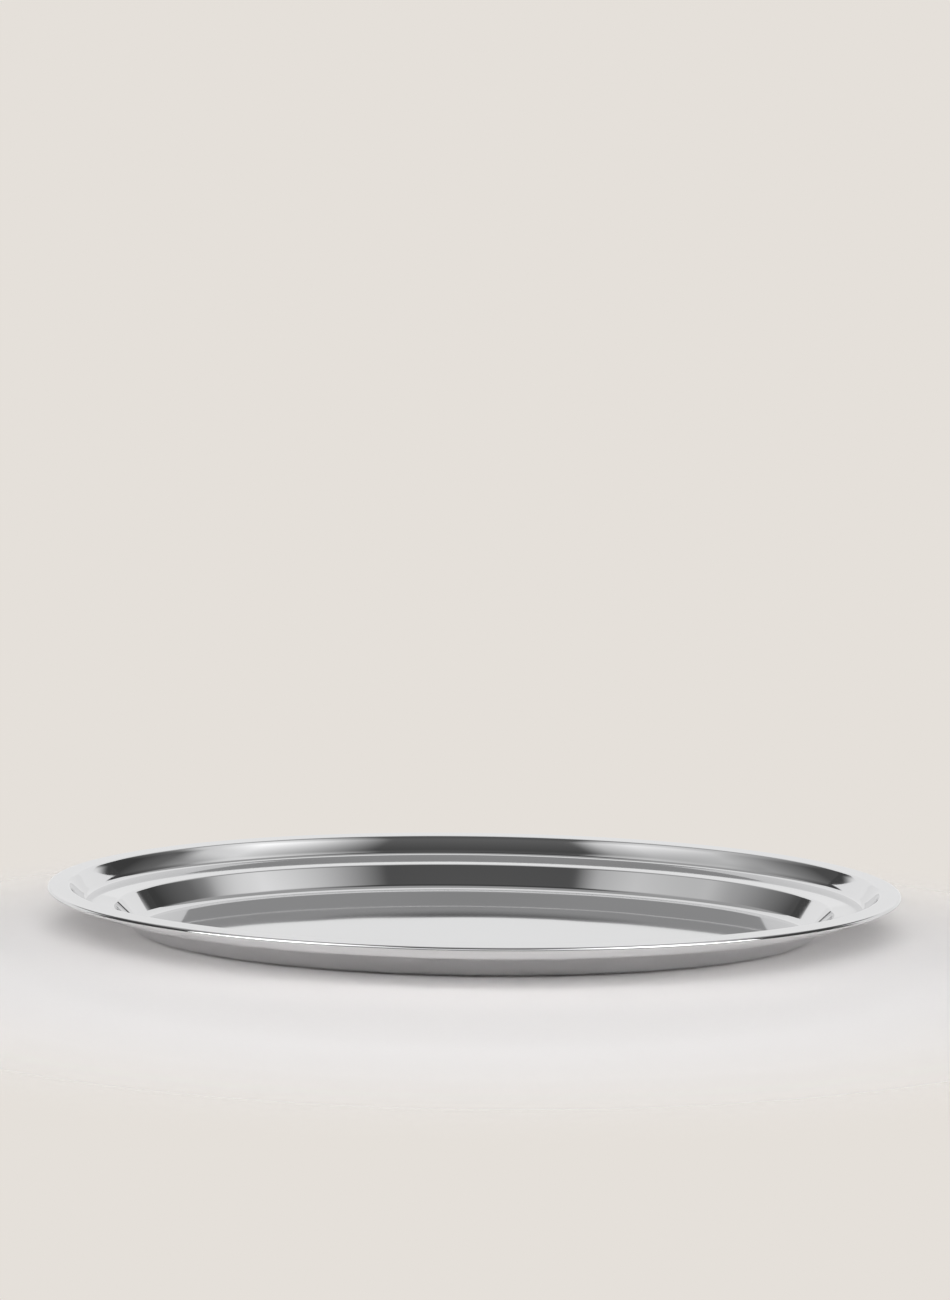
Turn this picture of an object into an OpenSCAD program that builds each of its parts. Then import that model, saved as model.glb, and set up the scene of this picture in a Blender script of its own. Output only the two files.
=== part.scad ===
// Oval serving tray pressed from one polished stainless sheet, with its edge curled round a wire.
// The origin is the middle of the underside, +X runs along the length and +Z is up. Sizes are in mm.

/* [Oval] */
// Overall length, over the rolled rim
tray_l = 450; // [380:2:560]
// Overall width, over the rolled rim
tray_w = 290; // [240:2:360]

/* [Heights] */
// Overall height, from the table to the top of the lip
tray_h = 25.4; // [21:0.1:40]
// Drop of the sloped step below the lip
step_drop = 9.6; // [7:0.1:12]
// Fall of the ledge towards the well
ledge_drop = 2.6; // [1:0.1:4]

/* [Widths across the rim] */
// Flat lip, from the outer edge to where the step begins
lip_w = 10.9; // [8:0.1:20]
// Horizontal run of the sloped step
step_run = 7.6; // [5:0.1:14]
// Ledge between the step and the well
ledge_w = 16.4; // [10:0.1:24]
// Horizontal run of the well's wall
well_run = 10.3; // [8:0.1:20]

/* [Sheet] */
// Thickness of the sheet
sheet_t = 0.7; // [0.5:0.05:1]
// Inside radius of the bend from the lip into the step
lip_bend_r = 1; // [0.5:0.1:2.5]
// Inside radius of the bend from the step into the ledge
step_bend_r = 4; // [0.5:0.1:6]
// Inside radius of the bend from the ledge into the well
ledge_bend_r = 1.5; // [0.5:0.1:4]
// Inside radius of the bend from the well's wall into the floor
floor_bend_r = 7; // [1:0.1:9]

/* [Rolled rim] */
// Diameter of the wire inside the rolled rim
wire_d = 1.4; // [1:0.1:3]
// Clearance between the wire and the sheet curled round it
wire_clear = 0.05; // [0.02:0.01:0.2]
// Turn of the curl, in degrees, from the top of the rim round and back under the lip
curl_turn = 285; // [240:5:285]
// Gap between the two ends of the wire
wire_gap = 1; // [0.5:0.1:5]

/* [Hidden] */
$fn = 128;

half_l = tray_l / 2;
half_w = tray_w / 2;
bead_in_r = wire_d / 2 + wire_clear;
bead_r = bead_in_r + sheet_t;
bend_steps = 5;
far = 1000;

// The outer edge is an ellipse, drawn as five tangent arcs in each quarter, so that the lip, the step and
// the ledge can keep their widths all the way round. The arcs meet where the edge faces along the sides of
// whole-number right triangles, so neighbouring arcs end on exactly the same plane.
DIRECTIONS = [[1, 0], [0.96, 0.28], [0.8, 0.6], [0.6, 0.8], [0.28, 0.96], [0, 1]];
function ellipse_r(d) = pow(half_l * half_w, 2) * norm(d) ^ 3
    / pow(pow(half_l * d[0], 2) + pow(half_w * d[1], 2), 1.5);
function mid_r(i) = ellipse_r(DIRECTIONS[i] + DIRECTIONS[i + 1]);
function snap(size, step) = step * round(size / step);
// Three of the radii follow the ellipse, and the two between them close the quarter on its length and width.
end_r = snap(mid_r(0), 4);
shoulder_r = snap(mid_r(1), 1);
side_r = snap(mid_r(4), 4);
left_l = half_l - 0.04 * end_r - 0.16 * shoulder_r - 0.28 * side_r;
left_w = half_w - 0.28 * end_r - 0.32 * shoulder_r - 0.04 * side_r;
flank_r = (left_l - left_w) / 0.16;
corner_r = 5 * left_w - 0.8 * flank_r;
RADII = [end_r, shoulder_r, corner_r, flank_r, side_r];
function centre(i) = i == 0 ? [half_l - end_r, 0] : centre(i - 1) + (RADII[i - 1] - RADII[i]) * DIRECTIONS[i];

// Corners of the sheet's upper face before they are rounded, as [distance in from the edge, height],
// with the slope of the stretch before each corner and the inside radius of the bend there
well_in = lip_w + step_run + ledge_w;
well_top = tray_h - step_drop - ledge_drop;
CORNERS = [
    [lip_w, tray_h],
    [lip_w + step_run, tray_h - step_drop],
    [well_in, well_top],
    [well_in + well_run, sheet_t]
];
SLOPES = [0, atan2(step_drop, step_run), atan2(ledge_drop, ledge_w), atan2(well_top - sheet_t, well_run), 0];
BENDS = [lip_bend_r, step_bend_r, ledge_bend_r, floor_bend_r];
// The flat floor starts on a whole millimetre, past the last bend
floor_in = ceil(well_in + well_run + floor_bend_r) + 1;

// Direction down a slope, and the direction out of the sheet's upper face there
function down(a) = [cos(a), -sin(a)];
function out(a) = [sin(a), cos(a)];
// Points of a face of the sheet round corner i. A hollow bend has its middle above the sheet.
function bend(i, lower) =
    let (a = SLOPES[i], b = SLOPES[i + 1], side = b < a ? 1 : -1)
    let (upper_r = b < a ? BENDS[i] : BENDS[i] + sheet_t)
    let (middle = CORNERS[i] - upper_r * tan(abs(a - b) / 2) * down(a) + side * upper_r * out(a))
    let (r = lower ? upper_r + side * sheet_t : upper_r)
    [for (k = [0:bend_steps]) middle - side * r * out(a + (b - a) * k / bend_steps)];
function reversed(v) = [for (i = [len(v) - 1:-1:0]) v[i]];

// Section of the sheet from the end of the curl to the floor, as [distance in from the edge, height]
module wall_section() {
    upper = [for (i = [0:3]) each bend(i, false)];
    lower = [for (i = [0:3]) each bend(i, true)];
    polygon(concat(
        [[bead_r, tray_h]], upper, [[floor_in, sheet_t], [floor_in, 0]],
        reversed(lower), [[bead_r, tray_h - sheet_t]]
    ));
}

// Section of the edge, curled out and down from the end of the lip and back under it
module curl_section() {
    open_turn = 360 - curl_turn;
    translate([bead_r, tray_h - bead_r])
        difference() {
            circle(bead_r);
            circle(bead_in_r);
            polygon([[0, 0], [0, far], far * [1, 1], far * out(open_turn)]);
        }
}

// The sector that arc i fills, seen from its centre
module sector(i) {
    polygon(far * [[0, 0], DIRECTIONS[i], DIRECTIONS[i] + DIRECTIONS[i + 1], DIRECTIONS[i + 1]]);
}

// Repeats one quarter of the oval in the other three
module all_quarters() {
    for (x = [0, 1])
        for (y = [0, 1])
            mirror([x, 0, 0])
                mirror([0, y, 0])
                    children();
}

// Sweeps a section, drawn as distance in from the edge, along one quarter of the oval
module sweep_quarter() {
    for (i = [0:4])
        translate(centre(i))
            intersection() {
                rotate_extrude()
                    translate([RADII[i], 0])
                        mirror([1, 0])
                            children();
                linear_extrude(2 * tray_h)
                    sector(i);
            }
}

// One quarter of the flat oval that lies a distance in from the edge
module quarter_plate(inset) {
    intersection() {
        for (i = [0:4])
            translate(centre(i))
                intersection() {
                    circle(RADII[i] - inset);
                    sector(i);
                }
        square(far);
    }
}

// The sheet: floor, well, ledge, step, lip and curled edge, pressed from one blank
module tray_sheet() {
    color([0.78, 0.79, 0.8])
        union() {
            all_quarters()
                sweep_quarter() {
                    wall_section();
                    curl_section();
                }
            linear_extrude(sheet_t)
                all_quarters()
                    quarter_plate(floor_in);
        }
}

// The wire inside the curled edge, bent into the oval with its two ends meeting on one long side
module rim_wire() {
    color([0.5, 0.51, 0.53])
        difference() {
            all_quarters()
                sweep_quarter()
                    translate([bead_r, tray_h - bead_r])
                        circle(d = wire_d);
            translate([-wire_gap / 2, half_w - 2 * bead_r, tray_h - 2 * bead_r])
                cube([wire_gap, 2 * bead_r, 2 * bead_r]);
        }
}

tray_sheet();
rim_wire();
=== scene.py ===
"""Looks of an oval serving tray: a pressed sheet of polished steel with its edge rolled round a wire."""

import math

import bpy
import numpy as np
from mathutils import Matrix, Vector


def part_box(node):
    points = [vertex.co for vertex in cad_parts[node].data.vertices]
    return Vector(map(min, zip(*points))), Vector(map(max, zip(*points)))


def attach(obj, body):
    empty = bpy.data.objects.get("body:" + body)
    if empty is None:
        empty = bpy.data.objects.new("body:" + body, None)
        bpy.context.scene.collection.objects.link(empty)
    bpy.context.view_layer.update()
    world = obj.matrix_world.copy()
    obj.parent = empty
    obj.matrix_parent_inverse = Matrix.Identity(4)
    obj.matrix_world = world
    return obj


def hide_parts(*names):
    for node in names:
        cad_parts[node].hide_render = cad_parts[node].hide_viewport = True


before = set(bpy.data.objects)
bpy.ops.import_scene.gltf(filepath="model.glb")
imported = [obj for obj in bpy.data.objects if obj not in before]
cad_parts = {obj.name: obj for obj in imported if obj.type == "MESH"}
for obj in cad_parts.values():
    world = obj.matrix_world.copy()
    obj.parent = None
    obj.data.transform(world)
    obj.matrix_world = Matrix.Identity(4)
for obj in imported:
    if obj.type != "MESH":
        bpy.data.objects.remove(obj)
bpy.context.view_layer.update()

MM = 0.001

# The oval and the height come from the frame, and the stretches of the sheet are the CAD part's own sizes
_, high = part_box("tray_sheet")
HALF_L, HALF_W, TRAY_H = high.x, high.y, high.z
LIP_W, STEP_RUN, LEDGE_W, WELL_RUN = 10.9 * MM, 7.6 * MM, 16.4 * MM, 10.3 * MM
STEP_DROP, LEDGE_DROP = 9.6 * MM, 2.6 * MM
SHEET_T = 0.7 * MM
BEND_RADII = [1 * MM, 4 * MM, 1.5 * MM, 7 * MM]
# Depth of the shallow hollow in the step. The CAD part has none: it is a guess from the photo's shading
STEP_HOLLOW = 0.15 * MM
WIRE_R, WIRE_CLEAR, WIRE_GAP = 0.7 * MM, 0.05 * MM, 1 * MM
CURL_TURN = math.radians(285)
BEAD_IN_R = WIRE_R + WIRE_CLEAR
BEAD_R = BEAD_IN_R + SHEET_T
FLOOR_IN = 54 * MM

# How finely the pieces are meshed
ROUND_STEPS = 720
BEND_STEPS = 10
STEP_STEPS = 6
CURL_STEPS = 32
CUT_STEPS = 7
WIRE_STEPS = 20
FLOOR_RINGS = 16

# Light of the plain backdrop
PALE = (0.7835, 0.7454, 0.7011)
# Height of the canopy and distance of the backdrop, so far off that the whole tray sees them alike
SKY = 6


def down(slope):
    """Direction inwards along a stretch that falls at this slope, as (distance in, height)."""
    return np.array([math.cos(slope), -math.sin(slope)])


def out(slope):
    """Direction out of the upper face of that stretch."""
    return np.array([math.sin(slope), math.cos(slope)])


def step_face(start, end, slope, flip):
    """Points along the step, which is a very shallow hollow between its two bends."""
    lean = 4 * STEP_HOLLOW / np.linalg.norm(end - start)
    face = []
    for t in np.linspace(0, 1, STEP_STEPS + 1)[1:-1]:
        point = start + t * (end - start) - 4 * STEP_HOLLOW * t * (1 - t) * out(slope)
        face.append((point, flip * out(slope + lean * (1 - 2 * t))))
    return face


def sheet_face(lower):
    """One face of the sheet from the lip to the floor, as pairs of a point and its normal."""
    well_in = LIP_W + STEP_RUN + LEDGE_W
    well_top = TRAY_H - STEP_DROP - LEDGE_DROP
    corners = [
        (LIP_W, TRAY_H), (LIP_W + STEP_RUN, TRAY_H - STEP_DROP),
        (well_in, well_top), (well_in + WELL_RUN, SHEET_T),
    ]
    slopes = [
        0, math.atan2(STEP_DROP, STEP_RUN), math.atan2(LEDGE_DROP, LEDGE_W),
        math.atan2(well_top - SHEET_T, WELL_RUN), 0,
    ]
    flip = -1 if lower else 1
    face, step_ends = [], []
    for corner, before, after, inside_r in zip(corners, slopes, slopes[1:], BEND_RADII):
        hollow = after < before
        side = 1 if hollow else -1
        upper_r = inside_r if hollow else inside_r + SHEET_T
        tangent = upper_r * math.tan(abs(before - after) / 2)
        middle = np.array(corner) - tangent * down(before) + side * upper_r * out(before)
        radius = upper_r + side * SHEET_T if lower else upper_r
        if len(step_ends) == 1:
            face += step_face(step_ends[0], middle - side * radius * out(before), before, flip)
        for slope in np.linspace(before, after, BEND_STEPS + 1):
            face.append((middle - side * radius * out(slope), flip * out(slope)))
        step_ends.append(face[-1][0])
    face.append((np.array([FLOOR_IN, 0 if lower else SHEET_T]), flip * out(0)))
    return face


def curl_face(radius, flip):
    """One face of the curl, from the top of the rim out, down and back under the lip."""
    middle = np.array([BEAD_R, TRAY_H - BEAD_R])
    return [
        (middle + radius * out(-turn), flip * out(-turn))
        for turn in np.linspace(0, CURL_TURN, CURL_STEPS + 1)
    ]


def curl_end():
    """The rounded cut edge of the sheet at the end of the curl."""
    middle = np.array([BEAD_R, TRAY_H - BEAD_R]) + (BEAD_IN_R + SHEET_T / 2) * out(-CURL_TURN)
    turns = np.linspace(0, math.pi, CUT_STEPS + 1)[1:-1]
    return [(middle + SHEET_T / 2 * out(-CURL_TURN - turn), out(-CURL_TURN - turn)) for turn in turns]


def sheet_section():
    """The sheet's section from the floor's upper face out to the rim and back to its underside."""
    upper = sheet_face(lower=False)[::-1]
    outer_curl = curl_face(BEAD_R, 1)
    inner_curl = curl_face(BEAD_IN_R, -1)[::-1]
    return upper + outer_curl + curl_end() + inner_curl + sheet_face(lower=True)


def oval_point(turn, inset):
    """A point that lies a distance in from the oval edge, and the direction out of the edge there."""
    outward = np.array([HALF_W * math.cos(turn), HALF_L * math.sin(turn)])
    outward /= np.linalg.norm(outward)
    edge = np.array([HALF_L * math.cos(turn), HALF_W * math.sin(turn)])
    return edge - inset * outward, outward


def swept_ring(turns, point, normal):
    """The ring of mesh points that one point of a section leaves along the oval, with their normals."""
    points, normals = [], []
    for turn in turns:
        place, outward = oval_point(turn, point[0])
        points.append((*place, point[1]))
        normals.append((*(-normal[0] * outward), normal[1]))
    return points, normals


def mesh_object(name, points, normals, faces, material):
    """A smooth mesh object with the exact normals of its surface."""
    mesh = bpy.data.meshes.new(name)
    mesh.from_pydata(points, [], faces)
    mesh.validate()
    mesh.shade_smooth()
    mesh.normals_split_custom_set_from_vertices(normals)
    mesh.materials.append(material)
    piece = bpy.data.objects.new(name, mesh)
    bpy.context.scene.collection.objects.link(piece)
    return piece


def ring_faces(first, second, count, closed=True):
    """Quads between two rings of points that start at these indices."""
    steps = range(count if closed else count - 1)
    return [(first + i, second + i, second + (i + 1) % count, first + (i + 1) % count) for i in steps]


def make_sheet(material):
    """The whole sheet as one closed mesh: the swept section and the flat floor's two faces."""
    turns = np.linspace(0, 2 * math.pi, ROUND_STEPS, endpoint=False)
    points, normals, faces = [], [], []
    section = sheet_section()
    for point, normal in section:
        ring, ring_normals = swept_ring(turns, point, normal)
        points += ring
        normals += ring_normals
    for i in range(len(section) - 1):
        faces += ring_faces(i * ROUND_STEPS, (i + 1) * ROUND_STEPS, ROUND_STEPS)
    # The floor's rings shrink towards the middle, first on the upper face and then on the underside
    for first, facing in ((0, 1), ((len(section) - 1) * ROUND_STEPS, -1)):
        edge = np.array(points[first:first + ROUND_STEPS])
        previous = first
        for ring in range(1, FLOOR_RINGS):
            start = len(points)
            size = 1 - ring / FLOOR_RINGS
            points += [tuple(p) for p in edge * [size, size, 1]]
            normals += [(0, 0, facing)] * ROUND_STEPS
            pair = (start, previous) if facing > 0 else (previous, start)
            faces += ring_faces(*pair, ROUND_STEPS)
            previous = start
        middle = len(points)
        points.append((0, 0, edge[0][2]))
        normals.append((0, 0, facing))
        for i in range(ROUND_STEPS):
            a, b = previous + i, previous + (i + 1) % ROUND_STEPS
            faces.append((middle, a, b) if facing > 0 else (middle, b, a))
    return mesh_object("tray_sheet_polished", points, normals, faces, material)


def make_wire(material):
    """The wire inside the curl, with its two cut ends meeting in the middle of the far long side."""
    half_gap = WIRE_GAP / 2 / (HALF_L - BEAD_R)
    turns = np.linspace(math.pi / 2 + half_gap, math.pi * 5 / 2 - half_gap, ROUND_STEPS)
    middle = np.array([BEAD_R, TRAY_H - BEAD_R])
    points, normals, faces = [], [], []
    for i in range(WIRE_STEPS):
        direction = out(-2 * math.pi * i / WIRE_STEPS)
        ring, ring_normals = swept_ring(turns, middle + WIRE_R * direction, direction)
        points += ring
        normals += ring_normals
    for i in range(WIRE_STEPS):
        faces += ring_faces(i * ROUND_STEPS, (i + 1) % WIRE_STEPS * ROUND_STEPS, ROUND_STEPS, closed=False)
    for end, order in ((0, -1), (ROUND_STEPS - 1, 1)):
        faces.append([i * ROUND_STEPS + end for i in range(WIRE_STEPS)][::order])
    return mesh_object("rim_wire_drawn", points, normals, faces, material)


def new_material(name):
    material = bpy.data.materials.new(name)
    material.use_nodes = True
    return material, material.node_tree.nodes, material.node_tree.links


def map_range(nodes, links, value, start, end, low, high):
    """A value carried smoothly from low to high while it goes from start to end."""
    blend = nodes.new("ShaderNodeMapRange")
    blend.interpolation_type = "SMOOTHSTEP"
    for socket, number in zip(blend.inputs[1:5], (start, end, low, high)):
        socket.default_value = number
    links.new(value, blend.inputs[0])
    return blend.outputs[0]


def noise(nodes, links, stretch, scale, detail):
    """Noise on the piece's own coordinates, stretched along the axes with the smaller numbers."""
    place = nodes.new("ShaderNodeTexCoord")
    mapping = nodes.new("ShaderNodeMapping")
    mapping.inputs["Scale"].default_value = stretch
    texture = nodes.new("ShaderNodeTexNoise")
    texture.inputs["Scale"].default_value = scale
    texture.inputs["Detail"].default_value = detail
    links.new(place.outputs["Object"], mapping.inputs["Vector"])
    links.new(mapping.outputs["Vector"], texture.inputs["Vector"])
    return texture.outputs["Fac"]


def bump(nodes, links, height, depth, before=None):
    """Relief of this depth, in metres, on top of an earlier one."""
    relief = nodes.new("ShaderNodeBump")
    relief.inputs["Strength"].default_value = 1
    relief.inputs["Distance"].default_value = depth
    links.new(height, relief.inputs["Height"])
    if before:
        links.new(before, relief.inputs["Normal"])
    return relief.outputs["Normal"]


def metal(name, tone, clouds, roughness, waves, marks):
    """Bare steel with a drifting tone and roughness, faint waves and fine marks.

    Waves and marks are each a stretch of the noise, its scale and the depth of the relief in metres.
    """
    material, nodes, links = new_material(name)
    shader = nodes["Principled BSDF"]
    shader.inputs["Metallic"].default_value = 1
    drift = noise(nodes, links, (1, 1, 1), clouds, 3)
    ramp = nodes.new("ShaderNodeValToRGB")
    for stop, colour in zip(ramp.color_ramp.elements, tone):
        stop.color = (*colour, 1)
    links.new(drift, ramp.inputs["Fac"])
    links.new(ramp.outputs["Color"], shader.inputs["Base Color"])
    links.new(map_range(nodes, links, drift, 0.3, 0.7, *roughness), shader.inputs["Roughness"])
    stretch, scale, depth = waves
    wavy = bump(nodes, links, noise(nodes, links, stretch, scale, 1), depth)
    stretch, scale, depth = marks
    marked = bump(nodes, links, noise(nodes, links, stretch, scale, 2), depth, wavy)
    links.new(marked, shader.inputs["Normal"])
    return material


def polished_steel():
    """Mirror-polished sheet: faint smudges, the slight waves of a pressing and marks along its length."""
    return metal(
        "polished_steel",
        tone=((0.685, 0.685, 0.69), (0.715, 0.715, 0.72)),
        clouds=9,
        roughness=(0.035, 0.06),
        waves=((1, 1, 1), 14, 0.15 * MM),
        marks=((0.04, 1, 1), 900, 0.0004 * MM),
    )


def wire_steel():
    """Drawn wire: duller than the sheet, with fine grain."""
    return metal(
        "wire_steel",
        tone=((0.46, 0.47, 0.49), (0.54, 0.55, 0.57)),
        clouds=60,
        roughness=(0.28, 0.4),
        waves=((1, 1, 1), 120, 0.02 * MM),
        marks=((0.1, 0.1, 1), 2500, 0.004 * MM),
    )


def make_camera():
    """The camera fitted to the photograph. Distance and elevation are from the middle of the underside."""
    distance, lens = 1.2126, 62.65
    elevation, tilt, pan, roll, turn = (math.radians(angle) for angle in (13.14, -6.08, -0.08, 0.81, -0.4))
    data = bpy.data.cameras.new("camera")
    data.lens = lens
    camera = bpy.data.objects.new("camera", data)
    bpy.context.scene.collection.objects.link(camera)
    place = Vector((0, -distance * math.cos(elevation), distance * math.sin(elevation)))
    level = Matrix.Rotation(-pan, 3, "Z") @ Matrix.Rotation(math.pi / 2 + tilt, 3, "X")
    rolled = level @ Matrix.Rotation(roll, 3, "Z")
    turned = Matrix.Rotation(turn, 3, "Z")
    camera.matrix_world = Matrix.Translation(turned @ place) @ (turned @ rolled).to_4x4()
    bpy.context.scene.camera = camera


def glow(nodes, links, tone, gain=None):
    """Ends a material as light of this tone, stronger by a gain where one is given."""
    light = nodes.new("ShaderNodeEmission")
    output = nodes.new("ShaderNodeOutputMaterial")
    links.new(tone, light.inputs["Color"])
    if gain:
        links.new(gain, light.inputs["Strength"])
    else:
        light.inputs["Strength"].default_value = 1
    links.new(light.outputs[0], output.inputs[0])


def split_place(nodes, links):
    """Where a point lies in its own object's box, as shares from 0 to 1 across, along and up."""
    place = nodes.new("ShaderNodeTexCoord")
    split = nodes.new("ShaderNodeSeparateXYZ")
    links.new(place.outputs["Generated"], split.inputs[0])
    return split.outputs


def light_ramp(nodes, links, value, stops):
    """Light along one direction, from stops of a position between 0 and 1 and a strength."""
    ramp = nodes.new("ShaderNodeValToRGB")
    elements = ramp.color_ramp.elements
    while len(elements) < len(stops):
        elements.new(0.5)
    for element, (position, strength) in zip(elements, stops):
        element.position = position
        element.color = (strength, strength, strength, 1)
    links.new(value, ramp.inputs["Fac"])
    return ramp.outputs["Color"]


def mix(nodes, links, share, first, second):
    """One tone fading into another, or into a plain grey, as the share goes from 0 to 1."""
    blend = nodes.new("ShaderNodeMix")
    blend.data_type = "RGBA"
    links.new(share, blend.inputs["Factor"])
    sockets = [socket for socket in blend.inputs if socket.type == "RGBA"]
    for tone, socket in zip((first, second), sockets):
        if isinstance(tone, float):
            socket.default_value = (tone, tone, tone, 1)
        else:
            links.new(tone, socket)
    return next(socket for socket in blend.outputs if socket.type == "RGBA")


def reflected_only(card):
    """The card shows in the steel but not to the camera, and it casts no light or shadow on the floor."""
    for ray in ("camera", "diffuse", "transmission", "volume_scatter", "shadow"):
        setattr(card, "visible_" + ray, False)


def make_card(name, corners, material):
    """A flat card for the steel to reflect, with its corners in multiples of the sky's height."""
    mesh = bpy.data.meshes.new(name)
    mesh.from_pydata([[SKY * number for number in corner] for corner in corners], [], [range(len(corners))])
    mesh.materials.append(material)
    card = bpy.data.objects.new(name, mesh)
    bpy.context.scene.collection.objects.link(card)
    reflected_only(card)


def make_canopy():
    """The canopy above: two softboxes on the camera's side of it, a dark panel between and dark ends.

    Its far edge is notched towards the middle, so that the backdrop shows highest there. The stops are
    places across it and strengths, for its near part and its far part.
    """
    reach, near, far = 1.35, -1.2, 0.92
    change, brightening = (-0.15, 0.08), (-0.8, -0.15)
    nearest_gain, farthest_gain = 3, 0.85
    notch = ((1.19, 0.85), (0.55, 0.62), (0, 0.45), (-0.55, 0.62), (-1.19, 0.85))
    outline = ((-reach, near), (reach, near), (reach, far), *notch, (-reach, far))
    material, nodes, links = new_material("canopy_light")
    nodes.clear()
    across, along, _ = split_place(nodes, links)
    near_stops = (
        (-1.1, 0.11), (-0.9, 0.3), (-0.62, 0.78), (-0.38, 0.64), (-0.28, 0.42), (-0.22, 0.07),
        (0.2, 0.07), (0.33, 0.44), (0.55, 1.1), (0.74, 0.95), (0.86, 0.14), (1.1, 0.06),
    )
    far_stops = ((-1.1, 0.11), (-0.9, 0.3), (-0.75, 0.5), (0.7, 0.5), (0.86, 0.2), (1.1, 0.07))
    ramps = []
    for stops in (near_stops, far_stops):
        placed = [((x + reach) / (2 * reach), strength) for x, strength in stops]
        ramps.append(light_ramp(nodes, links, across, placed))
    start, end = ((y - near) / (far - near) for y in change)
    share = map_range(nodes, links, along, start, end, 0, 1)
    start, end = ((y - near) / (far - near) for y in brightening)
    gain = map_range(nodes, links, along, start, end, nearest_gain, farthest_gain)
    glow(nodes, links, mix(nodes, links, share, *ramps), gain)
    make_card("canopy", [(x, y, 1) for x, y in outline], material)


def make_backdrop():
    """The bright backdrop beyond the canopy, wider towards its top, where it is a little dimmer."""
    material, nodes, links = new_material("backdrop_light")
    nodes.clear()
    _, _, height = split_place(nodes, links)
    glow(nodes, links, map_range(nodes, links, height, 0.1, 1, 1, 0.9))
    half_bottom, bottom, half_top, top = 0.68, 0.3, 1.97, 2.4
    outline = ((-half_bottom, bottom), (half_bottom, bottom), (half_top, top), (-half_top, top))
    make_card("backdrop", [(x, 1, z) for x, z in outline], material)


def make_front_boxes():
    """Two tall softboxes, dim beside the camera and bright further out, which light the rolled rim."""
    width, bottom, top = 1.7, 0.05, 0.95
    dim, low_gain, high_gain = 0.25, 1.2, 4
    for name, side in (("left_box", -1), ("right_box", 1)):
        material, nodes, links = new_material(name)
        nodes.clear()
        across, _, height = split_place(nodes, links)
        start, end = (0.2, 0.5) if side > 0 else (0.8, 0.5)
        tone = map_range(nodes, links, across, start, end, dim, 1)
        glow(nodes, links, tone, map_range(nodes, links, height, 0.1, 0.45, low_gain, high_gain))
        outline = ((0, bottom), (width, bottom), (width, top), (0, top))
        make_card(name, [(side * x, -1, z) for x, z in outline], material)


def make_room():
    """The room: dark in front and above, and bright behind the tray up to about 25 degrees."""
    radius = 20
    dark_front, bright_back, dark_above = 0.06, 0.93, 0.07
    bright_from, bright_full = 0.5, 0.62
    dark_from, dark_full = 0.71, 0.76
    bpy.ops.mesh.primitive_uv_sphere_add(segments=64, ring_count=32, radius=radius)
    room = bpy.context.object
    room.name = "room"
    material, nodes, links = new_material("room_light")
    nodes.clear()
    _, depth, height = split_place(nodes, links)
    level = map_range(nodes, links, depth, bright_from, bright_full, dark_front, bright_back)
    above = map_range(nodes, links, height, dark_from, dark_full, 0, 1)
    glow(nodes, links, mix(nodes, links, above, level, dark_above))
    room.data.materials.append(material)
    reflected_only(room)
    room.visible_diffuse = True


def soft_light(name, place, size, power):
    """A large light aimed at the tray that the steel doesn't reflect."""
    data = bpy.data.lights.new(name, "AREA")
    data.shape, data.energy = "ELLIPSE", power
    data.size, data.size_y = size
    light = bpy.data.objects.new(name, data)
    bpy.context.scene.collection.objects.link(light)
    light.location = place
    light.rotation_euler = (-Vector(place)).to_track_quat("-Z", "Y").to_euler()
    light.visible_glossy = False


def make_floor():
    """A pale floor that fades, round an oval a little in front of the tray, into the backdrop."""
    radius, forward, half_l, half_w = 1.2, 0.05, 0.24, 0.18
    solid_to, gone_at = 0.95, 1.7
    bpy.ops.mesh.primitive_circle_add(vertices=96, radius=radius, fill_type="NGON")
    floor = bpy.context.object
    floor.name = "floor"
    material, nodes, links = new_material("floor")
    shader = nodes["Principled BSDF"]
    shader.inputs["Base Color"].default_value = (0.91, 0.89, 0.885, 1)
    shader.inputs["Roughness"].default_value = 1
    shader.inputs["Specular IOR Level"].default_value = 0
    place = nodes.new("ShaderNodeTexCoord")
    oval = nodes.new("ShaderNodeMapping")
    oval.inputs["Location"].default_value = (0, forward / half_w, 0)
    oval.inputs["Scale"].default_value = (1 / half_l, 1 / half_w, 1)
    reach = nodes.new("ShaderNodeVectorMath")
    reach.operation = "LENGTH"
    links.new(place.outputs["Object"], oval.inputs["Vector"])
    links.new(oval.outputs["Vector"], reach.inputs[0])
    fade = map_range(nodes, links, reach.outputs["Value"], solid_to, gone_at, 1, 0)
    links.new(fade, shader.inputs["Alpha"])
    floor.data.materials.append(material)


def make_world():
    """The plain backdrop that the camera sees."""
    world = bpy.data.worlds.new("studio")
    world.use_nodes = True
    world.node_tree.nodes["Background"].inputs["Color"].default_value = (*PALE, 1)
    bpy.context.scene.world = world
    bpy.context.scene.view_settings.view_transform = "Standard"


sheet = make_sheet(polished_steel())
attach(sheet, "root")
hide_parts("tray_sheet")
wire = make_wire(wire_steel())
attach(wire, "root")
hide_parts("rim_wire")

make_canopy()
make_backdrop()
make_front_boxes()
make_room()
make_floor()
make_world()
for light in (
    ("overhead", (0, -0.7, 4), (3, 3), 15),
    ("upper_front", (0, -3.1, 2.9), (5, 0.9), 73),
    ("lower_front", (0, -3.8, 2.2), (6, 0.8), 81),
    ("left", (-3.4, -1.6, 1.5), (2, 0.8), 44),
    ("right", (3.4, -1.6, 1.5), (2, 0.8), 44),
):
    soft_light(*light)
make_camera()
